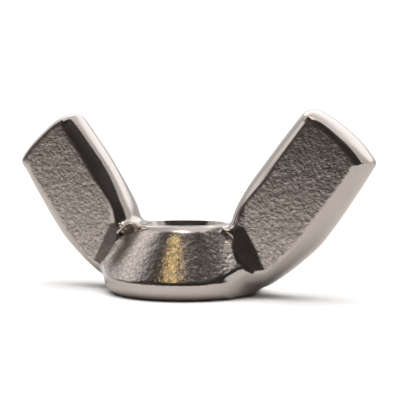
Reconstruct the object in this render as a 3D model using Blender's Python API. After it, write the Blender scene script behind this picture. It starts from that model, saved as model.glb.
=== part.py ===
"""Forged stainless wing nut, M8, with edged wings. Metres, +Z up, bearing face on z = 0."""

import math

import bmesh
import bpy

MM = 0.001

# Thread, ISO metric coarse M8
THREAD_MAJOR = 8.0
THREAD_MINOR = 6.647
THREAD_PITCH = 1.25
THREAD_COLUMNS = 32
THREAD_TURNS = 10  # length of the tap, in turns, well past both faces
LIP_DIAMETER = 8.2  # 45 degree countersink at both mouths
LIP_SPARE = 1.0  # the countersink cone runs this far past the face

# Hub: outer profile (radius, height), from the base up to the mouth
HUB_HEIGHT = 7.05
HUB_PROFILE = (
    (6.9, 0.0), (7.3, 0.07), (7.7, 0.32), (8.02, 0.75), (8.2, 1.3), (8.25, 1.8),
    (8.12, 2.6), (7.45, 3.85), (5.65, 6.3), (5.4, 6.6), (5.0, 6.88), (4.5, HUB_HEIGHT),
)
HUB_SEGMENTS = 96

# Wing outline, right-hand side: (x, z) of the forged face's edge, half thickness there,
# (x, z) of the crown of the rounded rim beside it, and how square the rim is (0 round, 1 bevelled)
WING_OUTLINE = (
    (5.2, 3.3, 2.2, 5.2, 1.2, 0.0),
    (7.0, 3.3, 2.5, 7.6, 0.75, 0.0),
    (8.75, 2.5, 2.35, 9.0, 1.0, 0.0),
    (10.3, 3.25, 2.35, 10.6, 2.1, 0.0),
    (11.6, 4.45, 2.35, 12.4, 3.55, 0.0),
    (12.9, 5.9, 2.35, 14.25, 5.3, 0.0),
    (14.35, 7.95, 2.35, 15.7, 7.2, 0.0),
    (15.95, 10.1, 2.35, 17.2, 9.45, 0.0),
    (17.2, 11.9, 2.35, 18.5, 11.5, 0.0),
    (17.95, 13.05, 2.35, 19.5, 13.1, 0.3),
    (18.0, 13.45, 2.35, 19.8, 13.75, 0.6),
    (17.75, 13.9, 2.35, 19.55, 14.3, 1.0),
    (17.0, 14.95, 2.35, 18.38, 15.75, 1.0),
    (15.9, 16.1, 2.35, 16.92, 17.05, 1.0),
    (14.8, 17.0, 2.35, 15.23, 18.1, 1.0),
    (13.95, 17.45, 2.35, 13.75, 18.65, 0.7),
    (13.65, 17.4, 2.35, 13.1, 18.65, 0.2),
    (13.35, 17.05, 2.35, 12.6, 18.1, 0.0),
    (12.3, 15.6, 2.35, 10.9, 15.95, 0.0),
    (10.85, 13.65, 2.35, 9.15, 13.65, 0.0),
    (9.4, 11.65, 2.35, 7.7, 11.6, 0.0),
    (8.1, 9.6, 2.35, 6.45, 9.6, 0.0),
    (7.4, 8.2, 2.35, 5.85, 8.3, 0.0),
    (6.2, 7.3, 1.9, 5.55, 7.2, 0.0),
    (4.9, 5.6, 1.8, 4.9, 5.6, 0.0),
)
CREASE = (2, 22)  # outline points where the flat forged face ends and the root facet starts
RIM_ROUND = tuple((math.cos(a), math.sin(a)) for a in (math.radians(15 * k) for k in range(7)))
RIM_SQUARE = ((1.0, 0.0), (0.98, 0.25), (0.93, 0.48), (0.8, 0.66), (0.56, 0.8), (0.28, 0.92), (0.0, 1.0))
ROOT_GAP = 0.04  # between the hub and a wing root

STEEL = {
    "hub": (0.50, 0.48, 0.46, 1.0),
    "left_wing": (0.47, 0.45, 0.43, 1.0),
    "right_wing": (0.47, 0.45, 0.43, 1.0),
}


def clear_scene():
    for thing in list(bpy.data.objects):
        bpy.data.objects.remove(thing, do_unlink=True)


def steel(name):
    material = bpy.data.materials.new(name + "_steel")
    material.use_nodes = True
    shader = material.node_tree.nodes["Principled BSDF"]
    shader.inputs["Base Color"].default_value = STEEL[name]
    shader.inputs["Metallic"].default_value = 1.0
    shader.inputs["Roughness"].default_value = 0.3
    material.diffuse_color = STEEL[name]
    return material


def new_object(name, points, faces):
    """A closed mesh from points in millimetres."""
    mesh = bpy.data.meshes.new(name)
    mesh.from_pydata([tuple(MM * c for c in p) for p in points], [], faces)
    made = bmesh.new()
    made.from_mesh(mesh)
    bmesh.ops.remove_doubles(made, verts=made.verts, dist=1e-7)
    bmesh.ops.recalc_face_normals(made, faces=made.faces)
    made.to_mesh(mesh)
    made.free()
    thing = bpy.data.objects.new(name, mesh)
    bpy.context.scene.collection.objects.link(thing)
    return thing


def lathe(name, profile):
    """A solid of revolution about Z from (radius, height) rows, closed with flat ends."""
    points, faces = [], []
    count = HUB_SEGMENTS
    for radius, height in profile:
        for step in range(count):
            angle = 2 * math.pi * (step + 0.5) / count
            points.append((radius * math.cos(angle), radius * math.sin(angle), height))
    for row in range(len(profile) - 1):
        for step in range(count):
            after = (step + 1) % count
            a, b = row * count + step, row * count + after
            faces.append((a, b, b + count, a + count))
    faces.append(tuple(range(count - 1, -1, -1)))
    faces.append(tuple(range((len(profile) - 1) * count, len(profile) * count)))
    return new_object(name, points, faces)


def thread_rod(name, bottom, turns):
    """A helical rod with the ISO profile, one column of points per step round the axis."""
    root, crest = THREAD_MINOR / 2, THREAD_MAJOR / 2
    profile = ((root, 0.0), (root, 0.25), (crest, 0.5625), (crest, 0.6875))
    columns = THREAD_COLUMNS
    rows = turns * len(profile) + 1
    points = []
    for column in range(columns):
        angle = 2 * math.pi * column / columns
        start = bottom + THREAD_PITCH * column / columns
        for row in range(rows):
            radius, part = profile[row % len(profile)]
            height = start + THREAD_PITCH * (row // len(profile) + part)
            points.append((radius * math.cos(angle), radius * math.sin(angle), height))
    step = len(profile)
    faces = []
    for column in range(columns):
        last = column == columns - 1
        after = 0 if last else (column + 1) * rows
        lift = step if last else 0
        for row in range(rows - 1 - lift):
            a, b = column * rows + row, after + row + lift
            faces.append((a, b, b + 1, a + 1))
    low, high = len(points), len(points) + 1
    points.append((0.0, 0.0, bottom + THREAD_PITCH / 2))
    points.append((0.0, 0.0, bottom + THREAD_PITCH * (turns - 0.5)))
    final = (columns - 1) * rows
    for column in range(columns - 1):
        faces.append((low, (column + 1) * rows, column * rows))
        faces.append((high, column * rows + rows - 1, (column + 1) * rows + rows - 1))
    for row in range(step):
        faces.append((low, row, row + 1))
        faces.append((high, final + rows - 1 - step + row, final + rows - step + row))
    faces.append((low, step, final))
    faces.append((high, final + rows - 1 - step, rows - 1))
    return new_object(name, points, faces)


def apply_all(thing):
    """Bakes the modifiers of an object into its mesh."""
    graph = bpy.context.evaluated_depsgraph_get()
    mesh = bpy.data.meshes.new_from_object(thing.evaluated_get(graph))
    thing.modifiers.clear()
    thing.data = mesh


def cut(thing, cutter):
    """Takes the cutter away from the object and deletes the cutter."""
    step = thing.modifiers.new("cut", "BOOLEAN")
    step.operation = "DIFFERENCE"
    step.solver = "EXACT"
    step.object = cutter
    apply_all(thing)
    bpy.data.objects.remove(cutter, do_unlink=True)


def build_hub():
    hub = lathe("hub", HUB_PROFILE)
    wide, narrow = LIP_DIAMETER / 2 + LIP_SPARE, THREAD_MINOR / 4
    depth = LIP_DIAMETER / 2 - narrow
    cut(hub, lathe("countersink_below", ((wide, -LIP_SPARE), (narrow, depth))))
    cut(hub, lathe("countersink_above", ((narrow, HUB_HEIGHT - depth), (wide, HUB_HEIGHT + LIP_SPARE))))
    cut(hub, thread_rod("tap", -2 * THREAD_PITCH, THREAD_TURNS))
    return hub


def rim_point(row, level):
    """The outline point at one level of the rim, from its crown (0) to the forged face (6)."""
    face_x, face_z, half, crown_x, crown_z, square = row
    out_round, side_round = RIM_ROUND[level]
    out_square, side_square = RIM_SQUARE[level]
    out = out_round + (out_square - out_round) * square
    side = side_round + (side_square - side_round) * square
    return face_x + (crown_x - face_x) * out, half * side, face_z + (crown_z - face_z) * out


def wing_solid(name, side):
    """One wing: rounded rim lofted round the outline, flat faces, and a narrower root."""
    count = len(WING_OUTLINE)
    levels = [(-1, 6 - k) for k in range(6)] + [(1, k) for k in range(7)]
    points = []
    for front, level in levels:
        for row in WING_OUTLINE:
            x, y, z = rim_point(row, level)
            points.append((side * x, front * y, z))
    faces = []
    for k in range(len(levels) - 1):
        for i in range(count):
            j = (i + 1) % count
            faces.append((k * count + i, k * count + j, (k + 1) * count + j, (k + 1) * count + i))
    low, high = CREASE
    for base in (0, (len(levels) - 1) * count):
        faces.append(tuple(base + i for i in range(low, high + 1)))
        root = list(range(high, count)) + list(range(0, low + 1))
        for i in range(1, len(root) - 1):
            faces.append((base + root[0], base + root[i], base + root[i + 1]))
    return new_object(name, points, faces)


def build_wing(name, side):
    wing = wing_solid(name, side)
    grown = []
    for radius, height in HUB_PROFILE:
        grown.append((radius + ROOT_GAP, height))
    grown[0] = (grown[0][0], -ROOT_GAP)
    grown[-1] = (grown[-1][0], HUB_HEIGHT + ROOT_GAP)
    cut(wing, lathe("seat", grown))
    return wing


def finish(thing):
    thing.data.materials.clear()
    thing.data.materials.append(steel(thing.name))
    for polygon in thing.data.polygons:
        polygon.use_smooth = True
    thing.data.set_sharp_from_angle(angle=math.radians(28))


clear_scene()
for piece in (build_hub(), build_wing("left_wing", -1), build_wing("right_wing", 1)):
    finish(piece)
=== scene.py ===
"""Looks of the forged stainless wing nut: one continuous forged skin in three pieces, and the cut thread.

The skin is an implicit shape, sampled on a fine grid. It is what the dies leave (the hub's wall, its ears
and the wings' flat faces) inside what the rolled perimeter leaves (the wings' rims, the hub's band and its
top). A field is negative inside the metal. Lengths are in millimetres until a mesh is made.
"""

import math

import bmesh
import bpy
import numpy as np
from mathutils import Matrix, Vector, noise


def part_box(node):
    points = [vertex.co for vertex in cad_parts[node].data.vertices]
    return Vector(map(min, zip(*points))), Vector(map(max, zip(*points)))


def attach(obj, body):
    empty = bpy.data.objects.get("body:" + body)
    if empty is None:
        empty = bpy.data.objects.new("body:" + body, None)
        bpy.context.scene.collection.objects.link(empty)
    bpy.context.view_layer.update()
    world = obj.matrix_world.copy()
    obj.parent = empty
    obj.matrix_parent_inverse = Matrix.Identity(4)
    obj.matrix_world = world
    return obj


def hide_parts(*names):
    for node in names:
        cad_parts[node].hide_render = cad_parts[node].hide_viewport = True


MM = 0.001

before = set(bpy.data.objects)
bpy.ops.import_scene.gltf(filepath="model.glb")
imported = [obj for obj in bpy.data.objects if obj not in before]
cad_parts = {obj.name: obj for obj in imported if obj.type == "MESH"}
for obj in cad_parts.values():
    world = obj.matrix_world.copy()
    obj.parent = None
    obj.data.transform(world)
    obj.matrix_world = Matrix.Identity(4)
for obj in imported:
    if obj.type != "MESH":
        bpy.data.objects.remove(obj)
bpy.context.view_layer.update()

# Driving sizes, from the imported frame
HUB_LOW, HUB_HIGH = (np.array(corner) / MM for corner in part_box("hub"))
HUB_RADIUS = float(HUB_HIGH[0])
HUB_TOP = float(HUB_HIGH[2])
WING_REACH = float(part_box("right_wing")[1][0] / MM)

# Sampling of the skin
GRID = 0.1
GRID_MARGIN = 0.45  # room round the metal and below it
GRID_HEIGHT = 19.6  # from there to above the tips
EDGE_ROUND = 0.1  # where the dies' surfaces meet the perimeter

# Hub
WALL_SLOPE = 0.64  # horizontal run of the conical wall for each unit of height
BAND_HEIGHT = 1.8  # where the cone meets the band
BAND_LEAN = 0.2  # how fast the perimeter leans in above the band
BAND_ROUND, ROUND_HEIGHT = 1.25, 1.5  # the band's lower edge is rolled under
TOP_FLAT, TOP_FALL, TOP_ROUND = 4.17, 0.53, 1.25  # the top is flat to this radius, then curves down
TOP_STRETCH, STRETCH_FROM, STRETCH_FULL = 0.72, 3.6, 5.6  # and reaches further towards the wings
BORE_SEAT = 4.35  # radius at which the skin gives way to the cut thread

# Ears: the thick foot of each wing, with a notch between the ear's end and the wing's root facet
EAR_FACET = (0.449, 0.893, 0.736, 9.117)  # its sloping plane: a*x + b*y + c*z = d
EAR_START = 3.0  # inside the cone
EAR_END, EAR_TOP, EAR_FLARE, EAR_CURVE = 6.43, 5.7, 0.25, 0.1  # its end, which flares out below its top
EAR_EDGE, EAR_FILLET = 0.12, 0.45
SHELF = (0.692, 0.722, 7.82)  # floor of the notch: a*x + c*z = d
SHELF_START, SHELF_DEPTH, SHELF_FILLET = 6.2, 0.08, 0.08
WEB = (0.75, 0.661, 8.2)  # upright plane of the web from the band to the wing's lower rim: a*x + b*y = d
WEB_START, WEB_FILLET = 6.5, 0.12
WEB_RISE_FROM, WEB_RISE = 6.8, 0.9  # the web's lower edge climbs from this x at this slope

# Wing
FACE_HALF, ROOT_HALF = 2.35, 2.75  # half thickness at the flat faces, and the most at the root facets
RIM_HALF, RIM_DEPTH = 2.6, 2.1  # half width of the rim's round, and the scale of its field
RIM_NARROWEST = 0.2
CREASE_X, CREASE_Z, CREASE_RUN = 7.45, 7.0, 0.54  # the crease is upright, and runs outwards below CREASE_Z
CREASE_FILLET, CREASE_BLEND = 0.05, 0.15
RAMP = 0.2  # how fast the root facet rises towards the hub
ROOT_START, ROOT_CLIMB_FROM, ROOT_CLIMB, ROOT_FILLET = EAR_END - 0.1, 6.0, 1.25, 0.3
WING_FILLET, RIM_FILLET = 0.06, 0.8  # where the wing joins the hub: on the dies' side and on the perimeter
RIGHT_LEAN, RIGHT_SHIFT, LEAN_CENTRE = 0.02, 0.22, (7.0, 4.0)  # the right wing is turned about (x, z)
LEAN_FROM, LEAN_FULL = 6.0, 10.0

# The domed end of a wing, and the bevel between it and the flat face
DOME_HALF, DOME_FALL, DOME_POWER, DOME_DEPTH = 2.15, 0.55, 1.8, 1.1
BEVEL_START, BEVEL_SLOPE, BEVEL_STEEP, BEVEL_FILLET = 0.16, 0.42, 0.95, 0.12
TIP_PLACE, TIP_NORMAL = (13.55, 17.2), (0.673, 0.74)  # the slanting line that the end starts from
TIP_BLEND = (-0.25, 0.45)  # how far before and beyond it the rim changes

# Edge of the flat face (x, z) and crown of the rim beside it (x, z), anticlockwise from the root
OUTLINE_STEPS = 8
OUTLINE = (
    (5.4, 4.6, 5.2, 1.2),
    (6.4, 4.1, 6.2, 0.85),
    (7.5, 3.25, 7.5, 0.75),
    (8.86, 2.4, 8.9, 1.0),
    (10.3, 3.25, 10.6, 2.1),
    (11.6, 4.45, 12.4, 3.55),
    (12.9, 5.9, 14.25, 5.3),
    (14.35, 7.95, 15.7, 7.2),
    (15.95, 10.1, 17.2, 9.45),
    (17.2, 11.9, 18.5, 11.5),
    (17.8, 12.9, 19.4, 13.0),
    (18.05, 13.3, 19.62, 13.45),
    (17.85, 13.8, 19.35, 14.05),
    (16.9, 14.85, 18.15, 15.5),
    (15.9, 15.75, 16.65, 16.8),
    (14.9, 16.6, 15.1, 17.9),
    (14.15, 17.1, 13.85, 18.5),
    (13.6, 17.25, 13.05, 18.52),
    (13.25, 17.0, 12.45, 18.15),
    (12.2, 15.6, 10.75, 16.05),
    (10.75, 13.65, 9.0, 13.75),
    (9.35, 11.65, 7.6, 11.65),
    (7.8, 9.7, 6.45, 9.6),
    (7.0, 8.5, 5.85, 8.3),
    (6.6, 7.2, 5.5, 7.2),
    (6.2, 5.4, 4.9, 5.4),
)

# Skin
RELAX_ROUNDS, RELAX_SHARES = 4, (0.5, -0.52)
FORGED_BLEND = (-0.1, 0.12)
FACET_FORGED = 0.12  # how much of the forged look the root facets keep
FACET_CLEAR = 0.06  # they start this far outside the hub's wall
# The orange-peel skin, as (height, fineness, place) of each noise in it
PEEL = ((0.009, 1.1, (0, 0, 0)), (0.005, 2.6, (7, 3, 1)), (0.005, 4.4, (1, 9, 4)))
PEEL_SMOOTH = 0.1333  # share of it left on the smooth perimeter
CUT_CLEAR, CUT_HALF, CUT_START = 0.04, 3.0, 5.2  # where a wing is cut from the hub
HUB_CAP, WING_CAP = (6.0, 0.0, 4.0), (6.8, 0.0, 4.2)  # points inside the metal that close the cut roots

# Thread: M8 x 1.25, its minor and major diameters given as radii
THREAD_MINOR, THREAD_MAJOR, THREAD_PITCH = 3.3235, 4.0, 1.25
THREAD_COLUMNS, THREAD_ROWS = 120, 141
GROOVE_HALF, FLANK = 0.125, 0.3125  # shares of the pitch: half the groove's flat floor, and one flank
LIP_RADIUS, LIP_SLOPE = 4.1, 0.42  # the countersunk mouths: radius at the face, and its fall with depth
# The rest of the sleeve's section, (radius, height) from the top down: its two lips and its outer wall
SLEEVE = (
    (4.25, HUB_TOP + 0.02),
    (4.33, HUB_TOP - 0.02),
    (4.45, HUB_TOP - 0.3),
    (4.45, 0.3),
    (4.33, 0.02),
    (4.2, 0.0),
)
THREAD_SHARP = 35  # degrees between two faces that make a sharp edge

# Looks: noise as (cells in a metre, detail, roughness), and colours as (darkest, palest)
CLOUD = (260.0, 4.0, 0.55)
GRAIN = (3100.0, 3.0, 0.65)
PITTING = (2700.0, 4.0, 0.65)
PITTING_DEPTH = 0.00006  # metres
PRESSED_TONES = ((0.37, 0.32, 0.29, 1), (0.56, 0.49, 0.45, 1))
SMOOTH_TONES = ((0.46, 0.405, 0.37, 1), (0.55, 0.485, 0.445, 1))
CUT_TONES = ((0.46, 0.41, 0.37, 1), (0.54, 0.48, 0.44, 1))
FLOOR_MIRRORED, FLOOR_SEEN = (0.72, 0.71, 0.70, 1), (0.98, 0.975, 0.97, 1)


def smooth_min(a, b, width):
    """Union of two fields, with a fillet about this wide."""
    near = np.maximum(width - np.abs(a - b), 0) / width
    return np.minimum(a, b) - near * near * width / 4


def smooth_max(a, b, width):
    """Intersection of two fields, with an edge rounded about this wide."""
    return -smooth_min(-a, -b, width)


def smooth_step(low, high, value):
    part = np.clip((value - low) / (high - low), 0, 1)
    return part * part * (3 - 2 * part)


def spline(points, steps):
    """A closed Catmull-Rom curve through the points."""
    points = np.array(points, float)
    before, after, far = np.roll(points, 1, 0), np.roll(points, -1, 0), np.roll(points, -2, 0)
    rows = []
    for t in np.arange(steps) / steps:
        line = 2 * points + (after - before) * t
        square = (2 * before - 5 * points + 4 * after - far) * t**2
        cube = (3 * points - before - 3 * after + far) * t**3
        rows.append(0.5 * (line + square + cube))
    return np.stack(rows, 1).reshape(-1, points.shape[1])


def outline_distance(curve, x, z):
    """Signed distance from (x, z) to a closed curve, negative inside."""
    best = np.full(x.shape, np.inf)
    inside = np.zeros(x.shape, bool)
    for (ax, az), (bx, bz) in zip(curve, np.roll(curve, -1, 0)):
        dx, dz = bx - ax, bz - az
        t = np.clip(((x - ax) * dx + (z - az) * dz) / (dx * dx + dz * dz), 0, 1)
        best = np.minimum(best, (x - ax - t * dx) ** 2 + (z - az - t * dz) ** 2)
        if dz != 0:
            inside ^= ((az > z) != (bz > z)) & (x < ax + (z - az) * dx / dz)
    return np.where(inside, -1, 1) * np.sqrt(best)


def on_outline(x, z):
    """Where a point lies on the wings' common outline: the right wing leans out a little further."""
    right = smooth_step(LEAN_FROM, LEAN_FULL, x)
    centre_x, centre_z = LEAN_CENTRE
    along = np.abs(x) - right * (RIGHT_SHIFT + RIGHT_LEAN * (z - centre_z))
    return along, z + right * RIGHT_LEAN * (np.abs(x) - centre_x)


def rim_share(x, z):
    """0 at the edge of the wing's flat face, 1 at the crown of its rim."""
    x, z = on_outline(x, z)
    curve = spline(OUTLINE, OUTLINE_STEPS)
    face = outline_distance(curve[:, :2], x, z)
    crown = outline_distance(curve[:, 2:], x, z)
    return face / np.maximum(face - crown, RIM_NARROWEST)


def wing_perimeter(x, y, z, share):
    """The wing's rim: rounded along its edges, and a domed end with a bevel round it at the tip."""
    start = math.sqrt(1 - (FACE_HALF / RIM_HALF) ** 2)
    across = np.maximum(start + (1 - start) * share, 0)
    rim = (np.sqrt(across**2 + (y / RIM_HALF) ** 2) - 1) * RIM_DEPTH
    dome = (share - 1 + DOME_FALL * (y / DOME_HALF) ** DOME_POWER) * DOME_DEPTH
    bevel = BEVEL_SLOPE * (share - BEVEL_START) + BEVEL_STEEP * (y - FACE_HALF)
    end = smooth_max(dome, bevel, BEVEL_FILLET)
    beyond = (x - TIP_PLACE[0]) * TIP_NORMAL[0] + (z - TIP_PLACE[1]) * TIP_NORMAL[1]
    return rim + (end - rim) * smooth_step(*TIP_BLEND, beyond)


def crease(z):
    """How far out the flat face gives way to the root facet at this height."""
    return CREASE_X + CREASE_RUN * np.maximum(CREASE_Z - z, 0)


def wing_faces(x, y, z):
    """The flat faces, and the root facets that rise from their crease to the hub."""
    facet = np.minimum(FACE_HALF + RAMP * (crease(z) - x), ROOT_HALF)
    side = y - smooth_max(np.full(x.shape, FACE_HALF), facet, CREASE_FILLET)
    root = ROOT_START - x - ROOT_CLIMB * np.maximum(z - ROOT_CLIMB_FROM, 0)
    return smooth_max(side, root, ROOT_FILLET)


def hub_wall(x, y, z):
    """The cone, filleted into the ear at the foot of each wing, and the floor of the notch behind it."""
    radius = HUB_RADIUS + WALL_SLOPE * (BAND_HEIGHT - z)
    cone = (np.sqrt(x**2 + y**2) - radius) / math.hypot(1, WALL_SLOPE)
    a, b, c, d = EAR_FACET
    facet = (a * x + b * y + c * z - d) / math.hypot(1, c)
    below = EAR_TOP - z
    end = x - EAR_END - EAR_FLARE * below - EAR_CURVE * below * np.abs(below)
    ear = np.maximum(smooth_max(facet, end, EAR_EDGE), EAR_START - x)
    a, c, d = SHELF
    shelf = np.maximum(np.maximum(a * x + c * z - d, facet + SHELF_DEPTH), SHELF_START - x)
    return smooth_min(smooth_min(cone, ear, EAR_FILLET), shelf, SHELF_FILLET)


def rolled_wall(past, z, rise=0.0):
    """An upright wall whose lower edge is rolled under: past is how far a point lies outside the wall."""
    out = np.maximum(past + BAND_ROUND, 0) / BAND_ROUND
    down = np.maximum(ROUND_HEIGHT - z + rise, 0) / ROUND_HEIGHT
    return (np.sqrt(out**2 + down**2) - 1) * BAND_ROUND


def hub_top(x, y, z):
    stretch = 1 - (1 - TOP_STRETCH) * smooth_step(STRETCH_FROM, STRETCH_FULL, x)
    fall = np.maximum(np.hypot(stretch * x, y) - TOP_FLAT, 0)
    curved = np.minimum(fall, TOP_ROUND)
    drop = TOP_FALL * curved**2 + 2 * TOP_FALL * TOP_ROUND * (fall - curved)
    return (z - HUB_TOP + drop) / np.sqrt(1 + (2 * TOP_FALL * curved) ** 2)


def hub_perimeter(x, y, z):
    """The band round the foot of the hub, the web from it to each wing's lower rim, and the hub's top."""
    lean = BAND_LEAN * np.maximum(z - BAND_HEIGHT, 0)
    band = rolled_wall(np.sqrt(x**2 + y**2) + lean - HUB_RADIUS, z)
    a, b, d = WEB
    rise = WEB_RISE * np.maximum(x - WEB_RISE_FROM, 0)
    web = np.maximum(rolled_wall(a * x + b * y - d, z, rise), WEB_START - x)
    return np.maximum(smooth_min(band, web, WEB_FILLET), hub_top(x, y, z))


def skin_fields(x, y, z, share):
    """(what the dies leave, what the perimeter leaves): the skin is where the larger one is zero."""
    wing_x, wing_z = on_outline(x, z)
    x, y = np.abs(x), np.abs(y)
    dies = smooth_min(hub_wall(x, y, z), wing_faces(wing_x, y, wing_z), WING_FILLET)
    rims = wing_perimeter(wing_x, y, wing_z, share)
    return dies, smooth_min(hub_perimeter(x, y, z), rims, RIM_FILLET)


def skin_grid():
    """Samples the skin on the grid, as (field, origin)."""
    origin = np.array([-WING_REACH, HUB_LOW[1], 0]) - GRID_MARGIN
    count = [int(math.ceil(-2 * low / GRID)) + 1 for low in origin[:2]] + [int(GRID_HEIGHT / GRID)]
    lines = [(low + GRID * np.arange(n)).astype(np.float32) for low, n in zip(origin, count)]
    x, z = np.meshgrid(lines[0], lines[2], indexing="ij")
    share = rim_share(x, z).astype(np.float32)
    field = np.empty(count, np.float32)
    for row, y in enumerate(lines[1]):
        dies, perimeter = skin_fields(x, np.full_like(x, y), z, share)
        body = np.maximum(smooth_max(dies, perimeter, EDGE_ROUND), -z)
        field[:, row, :] = np.maximum(body, BORE_SEAT - np.hypot(x, y))
    return field, origin


CORNERS = [(i, j, k) for i in (0, 1) for j in (0, 1) for k in (0, 1)]


def net_points(field, origin, cells):
    """One point in each crossed cell, at the mean of the places where its edges cross the surface."""
    total = np.zeros((len(cells), 3))
    hits = np.zeros(len(cells))
    for start in CORNERS:
        for axis in range(3):
            if start[axis]:
                continue
            end = tuple(1 if n == axis else start[n] for n in range(3))
            low = field[tuple((cells + start).T)]
            high = field[tuple((cells + end).T)]
            crossed = (low < 0) != (high < 0)
            point = np.repeat(np.array([start], float), len(cells), 0)
            point[:, axis] += np.where(crossed, low / np.where(crossed, low - high, 1), 0)
            total += point * crossed[:, None]
            hits += crossed
    return origin + GRID * (cells + total / hits[:, None])


def net_quads(inside, index):
    """One quad round each crossed grid edge, joining the points of the four cells beside it."""
    quads = []
    for axis in range(3):
        u, v = (axis + 1) % 3, (axis + 2) % 3
        here = [slice(1, -1)] * 3
        there = [slice(1, -1)] * 3
        here[axis], there[axis] = slice(0, -1), slice(1, None)
        low, high = inside[tuple(here)], inside[tuple(there)]
        edges = np.argwhere(low != high)
        flip = high[tuple(edges.T)]
        edges[:, u] += 1
        edges[:, v] += 1
        ring = []
        for du, dv in ((-1, -1), (0, -1), (0, 0), (-1, 0)):
            cell = edges.copy()
            cell[:, u] += du
            cell[:, v] += dv
            ring.append(index[tuple(cell.T)])
        ring = np.stack(ring, 1)
        ring[flip] = ring[flip][:, ::-1]
        quads.append(ring)
    return np.concatenate(quads)


def surface_net(field, origin):
    """The zero surface of a sampled field, as (points, quads)."""
    inside = field < 0
    a, b, c = (n - 1 for n in inside.shape)
    count = sum(inside[i:a + i, j:b + j, k:c + k].astype(np.int8) for i, j, k in CORNERS)
    cells = np.argwhere((count > 0) & (count < len(CORNERS)))
    index = np.full(count.shape, -1, np.int32)
    index[tuple(cells.T)] = np.arange(len(cells))
    return net_points(field, origin, cells), net_quads(inside, index)


def relax(points, quads):
    """Evens out the grid's steps: passes that smooth, each followed by one that undoes the shrinking."""
    a = np.concatenate([quads[:, i] for i in range(4)])
    b = np.concatenate([quads[:, (i + 1) % 4] for i in range(4)])
    size = len(points)
    degree = np.bincount(a, minlength=size) + np.bincount(b, minlength=size)
    for share in RELAX_SHARES * RELAX_ROUNDS:
        near = [np.bincount(a, points[b, n], size) + np.bincount(b, points[a, n], size) for n in range(3)]
        points = points + share * (np.stack(near, 1) / degree[:, None] - points)
    return points


def vertex_normals(points, quads):
    one, two, three, four = (points[quads[:, i]] for i in range(4))
    cross = np.cross(three - one, four - two)
    sums = [sum(np.bincount(quads[:, i], cross[:, n], len(points)) for i in range(4)) for n in range(3)]
    normals = np.stack(sums, 1)
    return normals / np.maximum(np.linalg.norm(normals, axis=1), 1e-12)[:, None]


def forged_share(points):
    """1 on the faces the dies press, 0 on the smooth perimeter, and little on the root facets."""
    x, y, z = points.T
    dies, perimeter = skin_fields(x, y, z, rim_share(x, z))
    share = smooth_step(*FORGED_BLEND, dies - perimeter)
    x, z = on_outline(x, z)
    root = (hub_wall(x, np.abs(y), z) > FACET_CLEAR) & (x < crease(z) + CREASE_BLEND)
    return np.where(root, FACET_FORGED * share, share)


def peel(points, share):
    """Height of the orange-peel skin at each point."""
    height = np.empty(len(points))
    for i, point in enumerate(points):
        place = Vector(point)
        height[i] = sum(high * noise.noise(place * fine + Vector(shift)) for high, fine, shift in PEEL)
    return height * (share + PEEL_SMOOTH * (1 - share))


def forged_skin():
    """The whole skin, as (points, quads, forged share of each point)."""
    points, quads = surface_net(*skin_grid())
    points = relax(points, quads)
    forged = forged_share(points)
    points = points + vertex_normals(points, quads) * peel(points, forged)[:, None]
    return points, quads, forged


def side_of(points, quads):
    """0 for the hub, 1 for the right wing and -1 for the left one, by each quad's centre."""
    x, y, z = points[quads].mean(1).T
    clear = hub_wall(np.abs(x), np.abs(y), z) > CUT_CLEAR
    wing = clear & (np.abs(y) < CUT_HALF) & (np.abs(x) > CUT_START)
    return np.where(wing, np.sign(x), 0)


def add_piece(name, mesh):
    piece = bpy.data.objects.new(name, mesh)
    bpy.context.scene.collection.objects.link(piece)
    return piece


def close_root(made, x, y, z):
    """Closes the cut root on this side of the hub with a fan of faces inside the metal."""
    open_edges = [edge for edge in made.edges if edge.is_boundary and edge.verts[0].co.x * x > 0]
    centre = made.verts.new((x * MM, y * MM, z * MM))
    for edge in open_edges:
        made.faces.new((edge.verts[0], edge.verts[1], centre))
        edge.smooth = False


def skin_piece(name, skin, chosen, caps):
    """A mesh of the chosen quads of the skin, with its cut roots closed."""
    points, quads, forged = skin
    quads = quads[chosen]
    used = np.unique(quads)
    place = np.full(len(points), -1)
    place[used] = np.arange(len(used))
    mesh = bpy.data.meshes.new(name)
    mesh.from_pydata((points[used] * MM).tolist(), [], place[quads].tolist())
    made = bmesh.new()
    made.from_mesh(mesh)
    layer = made.verts.layers.float.new("forged")
    for vert, value in zip(made.verts, forged[used]):
        vert[layer] = value
    for cap in caps:
        close_root(made, *cap)
    bmesh.ops.recalc_face_normals(made, faces=made.faces)
    for face in made.faces:
        face.smooth = True
    made.to_mesh(mesh)
    made.free()
    return add_piece(name, mesh)


def skin_pieces():
    """The hub, the right wing and the left wing."""
    skin = forged_skin()
    side = side_of(skin[0], skin[1])
    hub_caps = [(sign * HUB_CAP[0], *HUB_CAP[1:]) for sign in (1, -1)]
    pieces = [skin_piece("hub_skin", skin, side == 0, hub_caps)]
    for name, sign in (("right_wing_skin", 1), ("left_wing_skin", -1)):
        cap = (sign * WING_CAP[0], *WING_CAP[1:])
        pieces.append(skin_piece(name, skin, side == sign, [cap]))
    return pieces


def thread_section(share):
    """The sleeve's closed section at this share of a turn, as (radius, height) points."""
    section = []
    for height in np.linspace(0, HUB_TOP, THREAD_ROWS):
        turn = (height / THREAD_PITCH - share) % 1.0
        tooth = min(max((abs(turn - 0.5) - GROOVE_HALF) / FLANK, 0), 1)
        radius = THREAD_MAJOR + (THREAD_MINOR - THREAD_MAJOR) * tooth
        depth = min(height, HUB_TOP - height)
        section.append((max(radius, LIP_RADIUS - LIP_SLOPE * depth), height))
    return section + list(SLEEVE)


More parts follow.
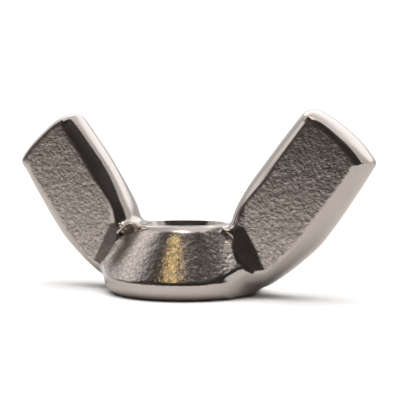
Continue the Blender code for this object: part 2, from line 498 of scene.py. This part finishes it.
def thread_sleeve():
    """The machined bore: a right-hand thread between two countersunk mouths."""
    made = bmesh.new()
    rings = []
    for column in range(THREAD_COLUMNS):
        share = column / THREAD_COLUMNS
        cos, sin = math.cos(2 * math.pi * share), math.sin(2 * math.pi * share)
        section = thread_section(share)
        rings.append([made.verts.new((r * MM * cos, r * MM * sin, h * MM)) for r, h in section])
    for ring, after in zip(rings, rings[1:] + rings[:1]):
        for i in range(len(ring)):
            j = (i + 1) % len(ring)
            made.faces.new((ring[i], after[i], after[j], ring[j])).smooth = True
    bmesh.ops.recalc_face_normals(made, faces=made.faces)
    mesh = bpy.data.meshes.new("thread")
    made.to_mesh(mesh)
    made.free()
    mesh.set_sharp_from_angle(angle=math.radians(THREAD_SHARP))
    return add_piece("thread", mesh)


class Tree:
    """Short calls for building a node tree."""

    def __init__(self, owner):
        self.tree = owner.node_tree
        self.tree.nodes.clear()

    def node(self, kind, **settings):
        made = self.tree.nodes.new(kind)
        for key, value in settings.items():
            setattr(made, key, value)
        return made

    def link(self, a, b):
        self.tree.links.new(a, b)

    def maths(self, operation, *values):
        made = self.node("ShaderNodeMath", operation=operation)
        for socket, value in zip(made.inputs, values):
            if isinstance(value, (int, float)):
                socket.default_value = value
            else:
                self.link(value, socket)
        return made.outputs[0]

    def remap(self, value, from_low, from_high, to_low, to_high):
        made = self.node("ShaderNodeMapRange", interpolation_type="SMOOTHSTEP")
        self.link(value, made.inputs["Value"])
        made.inputs["From Min"].default_value = from_low
        made.inputs["From Max"].default_value = from_high
        made.inputs["To Min"].default_value = to_low
        made.inputs["To Max"].default_value = to_high
        return made.outputs["Result"]

    def noise(self, scale, detail, rough):
        """Noise that is fixed to the object."""
        made = self.node("ShaderNodeTexNoise")
        made.inputs["Scale"].default_value = scale
        made.inputs["Detail"].default_value = detail
        made.inputs["Roughness"].default_value = rough
        self.link(self.node("ShaderNodeTexCoord").outputs["Object"], made.inputs["Vector"])
        return made.outputs["Fac"]

    def mix(self, factor, a, b):
        made = self.node("ShaderNodeMix", data_type="RGBA")
        self.link(factor, made.inputs["Factor"])
        for socket, value in ((made.inputs[6], a), (made.inputs[7], b)):
            if isinstance(value, tuple):
                socket.default_value = value
            else:
                self.link(value, socket)
        return made.outputs[2]


def new_material(name):
    material = bpy.data.materials.new(name)
    material.use_nodes = True
    return material, Tree(material)


def metal(name):
    """A bare metal, as (material, tree, shader)."""
    material, t = new_material(name)
    shader = t.node("ShaderNodeBsdfPrincipled")
    shader.inputs["Metallic"].default_value = 1.0
    t.link(shader.outputs[0], t.node("ShaderNodeOutputMaterial").inputs["Surface"])
    return material, t, shader


def forged_steel():
    """Speckled and rough on the pressed faces, smoother and a little paler on the perimeter."""
    material, t, shader = metal("forged_steel")
    forged = t.node("ShaderNodeAttribute", attribute_name="forged").outputs["Fac"]
    cloud = t.noise(*CLOUD)
    pressed = t.mix(t.remap(t.noise(*GRAIN), 0.36, 0.66, 0.0, 1.0), *PRESSED_TONES)
    smooth = t.mix(cloud, *SMOOTH_TONES)
    t.link(t.mix(forged, smooth, pressed), shader.inputs["Base Color"])
    gloss = t.remap(cloud, 0.3, 0.7, 0.09, 0.14)
    t.link(t.maths("ADD", t.maths("MULTIPLY", forged, 0.04), gloss), shader.inputs["Roughness"])
    bump = t.node("ShaderNodeBump")
    bump.inputs["Distance"].default_value = PITTING_DEPTH
    t.link(t.maths("ADD", t.maths("MULTIPLY", forged, 0.6), 0.12), bump.inputs["Strength"])
    t.link(t.noise(*PITTING), bump.inputs["Height"])
    t.link(bump.outputs[0], shader.inputs["Normal"])
    return material


def cut_steel():
    """The bright machined bore."""
    material, t, shader = metal("cut_steel")
    t.link(t.mix(t.noise(*CLOUD), *CUT_TONES), shader.inputs["Base Color"])
    t.link(t.remap(t.noise(*GRAIN), 0.3, 0.7, 0.12, 0.2), shader.inputs["Roughness"])
    return material


def studio_floor():
    """A pale floor, wider than the view. Its front edge is on the camera's side, below the picture."""
    far, near, facing = 3.0, 62 * MM, math.radians(40)
    side = Vector((math.cos(facing), math.sin(facing), 0))
    back = Vector((-math.sin(facing), math.cos(facing), 0))
    corners = [side * x + back * y for x, y in ((-far, -near), (far, -near), (far, far), (-far, far))]
    mesh = bpy.data.meshes.new("floor")
    mesh.from_pydata(corners, [], [(0, 1, 2, 3)])
    floor = add_piece("floor", mesh)
    floor.location.z = -0.01 * MM
    material, t = new_material("floor_white")
    shader = t.node("ShaderNodeBsdfDiffuse")
    seen = t.node("ShaderNodeLightPath").outputs["Is Camera Ray"]
    t.link(t.mix(seen, FLOOR_MIRRORED, FLOOR_SEEN), shader.inputs["Color"])
    t.link(shader.outputs[0], t.node("ShaderNodeOutputMaterial").inputs["Surface"])
    mesh.materials.append(material)


# The studio as the metal mirrors it: (azimuth, half width, elevation, half height, softness, level, tint),
# each laid over the ones before it. Angles are in degrees; azimuth 0 is the front, +90 the right.
STUDIO = (
    (-92, 46, 10, 62, 7, 0.72, "white"),
    (-84, 17, 34, 12, 5, 1.2, "white"),
    (20.5, 77, -10, 81, 2, 0.045, "warm"),
    (-36, 24, 14, 11, 4, 0.11, "warm"),
    (-42, 21, -1, 6, 4, 0.21, "warm"),
    (-76, 14, 14, 7, 4, 0.28, "warm"),
    (-52, 9, -9, 5, 3, 0.68, "white"),
    (-72, 7, 50, 6, 3, 1.3, "white"),
    (180, 44, 5, 16, 5, 0.7, "white"),
    (180, 50, 37, 14, 6, 1.8, "cool"),
    (112, 12, 20, 40, 7, 0.75, "white"),
    (5, 55, 84, 9, 3, 3.6, "cool"),
    (-2, 8, 55.6, 2.9, 1.0, 7.5, "gold"),
    (31, 9, 67, 3, 2, 0.5, "warm"),
)
TINTS = {"white": (1, 1, 1), "warm": (1, 0.93, 0.86), "cool": (1, 1.03, 1.06), "gold": (1, 0.78, 0.33)}
SURROUND = 1.1
FLOOR_LIGHT = (0.03, 4.6)  # on the floor: at the horizon, and what is added overhead
FLOOR_LIGHT_POWER = 5.0  # how tightly that is gathered overhead


def patch(t, azimuth, elevation, centre, half_wide, middle, half_high, soft):
    """How much a soft-edged patch of the studio covers this direction, from 0 to 1."""
    turned = t.maths("ABSOLUTE", t.maths("WRAP", t.maths("SUBTRACT", azimuth, centre), 180.0, -180.0))
    raised = t.maths("ABSOLUTE", t.maths("SUBTRACT", elevation, middle))
    across = t.remap(turned, half_wide - soft, half_wide + soft, 1.0, 0.0)
    return t.maths("MULTIPLY", across, t.remap(raised, half_high - soft, half_high + soft, 1.0, 0.0))


def mirrored_studio(t, x, y, z):
    """What the metal mirrors in the direction (x, y, z)."""
    azimuth = t.maths("DEGREES", t.maths("ARCTAN2", x, t.maths("MULTIPLY", y, -1.0)))
    elevation = t.maths("DEGREES", t.maths("ARCSINE", z))
    total = (SURROUND, SURROUND, SURROUND, 1)
    for *place, level, tint in STUDIO:
        colour = tuple(level * share for share in TINTS[tint]) + (1,)
        total = t.mix(patch(t, azimuth, elevation, *place), total, colour)
    mirrored = t.node("ShaderNodeBackground")
    t.link(total, mirrored.inputs["Color"])
    return mirrored.outputs[0]


def floor_light(t, z):
    """What lights the floor: soft, and nearly all of it from overhead."""
    light = t.node("ShaderNodeBackground")
    light.inputs["Color"].default_value = (1, 1, 1, 1)
    high = t.maths("POWER", t.maths("MAXIMUM", z, 0.0), FLOOR_LIGHT_POWER)
    horizon, overhead = FLOOR_LIGHT
    t.link(t.maths("MULTIPLY_ADD", high, overhead, horizon), light.inputs["Strength"])
    return light.outputs[0]


def studio_light():
    """Light and dark patches for the metal to mirror, a soft light on the floor, and a white backdrop."""
    world = bpy.data.worlds.new("studio")
    bpy.context.scene.world = world
    world.use_nodes = True
    t = Tree(world)
    parts = t.node("ShaderNodeSeparateXYZ")
    t.link(t.node("ShaderNodeTexCoord").outputs["Generated"], parts.inputs[0])
    x, y, z = parts.outputs
    backdrop = t.node("ShaderNodeBackground")
    backdrop.inputs["Color"].default_value = (1, 1, 1, 1)
    path = t.node("ShaderNodeLightPath")
    result = floor_light(t, z)
    seen = (("Is Glossy Ray", mirrored_studio(t, x, y, z)), ("Is Camera Ray", backdrop.outputs[0]))
    for kind, light in seen:
        blend = t.node("ShaderNodeMixShader")
        t.link(path.outputs[kind], blend.inputs[0])
        t.link(result, blend.inputs[1])
        t.link(light, blend.inputs[2])
        result = blend.outputs[0]
    t.link(result, t.node("ShaderNodeOutputWorld").inputs["Surface"])


def studio_camera():
    """At the front right, level with the upper half of the wings, about two and a half spans away."""
    azimuth, distance, height = math.radians(26), 97 * MM, 13.75 * MM
    turn, tilt = math.radians(0.945), math.radians(2.546)
    data = bpy.data.cameras.new("camera")
    data.lens = 84.6
    data.sensor_width = 36
    data.clip_start = 0.001
    camera = add_piece("camera", data)
    camera.location = (distance * math.sin(azimuth), -distance * math.cos(azimuth), height)
    camera.rotation_euler = (math.pi / 2 - tilt, 0, azimuth - turn)
    bpy.context.scene.camera = camera


hub, right_wing, left_wing = skin_pieces()
thread = thread_sleeve()
skin_steel = forged_steel()
for piece, node, slot in (
    (hub, "hub", "hub_steel"),
    (left_wing, "left_wing", "wing_steel"),
    (right_wing, "right_wing", "wing_steel"),
):
    piece.data.materials.append(skin_steel)
    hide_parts(node)
    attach(piece, "root")
thread.data.materials.append(cut_steel())
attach(thread, "root")
studio_floor()
studio_light()
studio_camera()
bpy.context.scene.view_settings.view_transform = "Standard"
